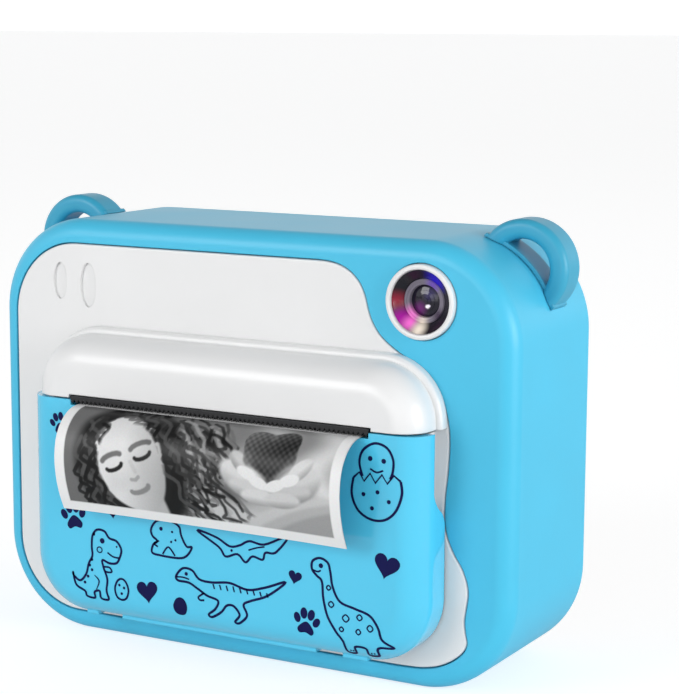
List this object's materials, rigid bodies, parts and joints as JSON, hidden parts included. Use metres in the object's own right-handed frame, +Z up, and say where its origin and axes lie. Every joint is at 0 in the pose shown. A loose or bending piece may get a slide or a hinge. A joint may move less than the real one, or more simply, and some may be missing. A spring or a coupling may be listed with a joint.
{
  "type": "children's instant print camera",
  "caption": "Sky-blue children's instant print camera with strap ears, white wave panel, hinged paper door with a printed strip, lens, rear screen and raised buttons.",
  "frame": {"origin": "middle of the flat underside, half way between the front and rear faces of the housing", "axes": "+X to the right seen from the front (lens side), +Y towards the screen at the back, +Z up"},
  "size_m": [0.1084, 0.049, 0.0794],
  "materials": {
    "blue_shell": "satin moulded sky blue",
    "blue_gloss": "polished moulded sky blue with printed navy doodles",
    "blue_flap": "soft moulded",
    "white_shell": "satin moulded white",
    "black_plastic": "fine matt",
    "grey_plastic": "satin",
    "dark_glass": "polished",
    "thermal_paper": "smooth coated",
    "card_core": "plain",
    "steel": "plated",
    "rubber": "matt",
    "gear_plastic": "natural acetal",
    "white_inner": "moulded",
    "ceramic_head": "polished",
    "circuit_board": "solder mask",
    "battery_wrap": "shrink sleeve",
    "copper_film": "film"
  },
  "bodies": {
    "housing": {"main_housing": "blue_shell", "ear_loop_left": "blue_shell", "ear_loop_right": "blue_shell", "rear_cover": "blue_shell", "paw_badge": "blue_shell", "front_panel": "white_shell", "printer_hood": "white_shell", "rear_panel": "white_shell", "paw_pads": "white_shell", "screen_bezel": "white_shell", "lens_ring": "white_shell", "tear_bar": "black_plastic", "lens_bezel": "black_plastic", "lens_barrel": "black_plastic", "lcd_module": "black_plastic", "speaker": "black_plastic", "lens_inner_ring": "grey_plastic", "lens_element": "dark_glass", "screen_window": "dark_glass", "door_hinge_pin": "steel", "feed_motor": "steel", "idler_axle": "steel", "head_pivot_pin": "steel", "head_spring_left": "steel", "head_spring_right": "steel", "usb_port": "steel", "card_socket": "steel", "rear_screw_1": "steel", "rear_screw_2": "steel", "rear_screw_3": "steel", "rear_screw_4": "steel", "keypad_membrane": "rubber", "printer_frame": "white_inner", "roll_spindle_left": "white_inner", "roll_spindle_right": "white_inner", "main_board": "circuit_board", "image_sensor_board": "circuit_board", "battery_cell": "battery_wrap", "head_ribbon": "copper_film"},
    "door": {"paper_door": "blue_gloss", "paper_print": "thermal_paper"},
    "platen": {"platen_shaft": "steel", "platen_rubber": "rubber", "platen_gear": "gear_plastic"},
    "idler": {"idler_gear": "gear_plastic"},
    "motor_rotor": {"motor_pinion": "gear_plastic", "motor_shaft": "steel"},
    "head": {"head_heatsink": "steel", "print_head": "ceramic_head"},
    "roll": {"paper_roll": "thermal_paper", "roll_core": "card_core"},
    "flap": {"port_flap": "blue_flap"},
    "shutter": {"shutter_button": "blue_shell"},
    "power": {"power_button": "blue_shell"},
    "ok": {"ok_button": "blue_shell"},
    "up": {"up_button": "blue_shell"},
    "down": {"down_button": "blue_shell"}
  },
  "joints": [
    {"name": "door_hinge", "type": "hinge", "parent": "housing", "child": "door", "pos_m": [0, -0.0181, 0.0077], "axis": [1, 0, 0], "range_deg": [0, 90], "stiffness_Nm_per_rad": 0.05},
    {"name": "platen_spin", "type": "hinge", "parent": "door", "child": "platen", "pos_m": [0, -0.0189, 0.0415], "axis": [1, 0, 0], "continuous": true},
    {"name": "idler_spin", "type": "hinge", "parent": "housing", "child": "idler", "pos_m": [0.0332, -0.01129, 0.04427], "axis": [1, 0, 0], "continuous": true},
    {"name": "motor_spin", "type": "hinge", "parent": "housing", "child": "motor_rotor", "pos_m": [0.032, -0.00547, 0.04916], "axis": [1, 0, 0], "continuous": true},
    {"name": "roll_spin", "type": "hinge", "parent": "housing", "child": "roll", "pos_m": [0, -0.008, 0.0212], "axis": [1, 0, 0], "continuous": true},
    {"name": "head_tilt", "type": "hinge", "parent": "housing", "child": "head", "pos_m": [0, -0.0129, 0.051], "axis": [1, 0, 0], "range_deg": [0, 3], "stiffness_Nm_per_rad": 2},
    {"name": "port_flap_hinge", "type": "hinge", "parent": "housing", "child": "flap", "pos_m": [-0.0188, 0.0005, 0.0008], "axis": [-1, 0, 0], "range_deg": [0, 90], "stiffness_Nm_per_rad": 0.01},
    {"name": "shutter_press", "type": "slide", "parent": "housing", "child": "shutter", "axis": [0, -1, 0], "range_m": [0, 0.0008], "stiffness_N_per_m": 600},
    {"name": "power_press", "type": "slide", "parent": "housing", "child": "power", "axis": [0, -1, 0], "range_m": [0, 0.0008], "stiffness_N_per_m": 600},
    {"name": "ok_press", "type": "slide", "parent": "housing", "child": "ok", "axis": [0, -1, 0], "range_m": [0, 0.0008], "stiffness_N_per_m": 600},
    {"name": "up_press", "type": "slide", "parent": "housing", "child": "up", "axis": [0, -1, 0], "range_m": [0, 0.0008], "stiffness_N_per_m": 600},
    {"name": "down_press", "type": "slide", "parent": "housing", "child": "down", "axis": [0, -1, 0], "range_m": [0, 0.0008], "stiffness_N_per_m": 600}
  ],
  "couplings": [
    {"joint": "idler_spin", "follows": "platen_spin", "ratio": -0.6},
    {"joint": "motor_spin", "follows": "platen_spin", "ratio": 1.2},
    {"joint": "roll_spin", "follows": "platen_spin", "ratio": 0.25}
  ]
}
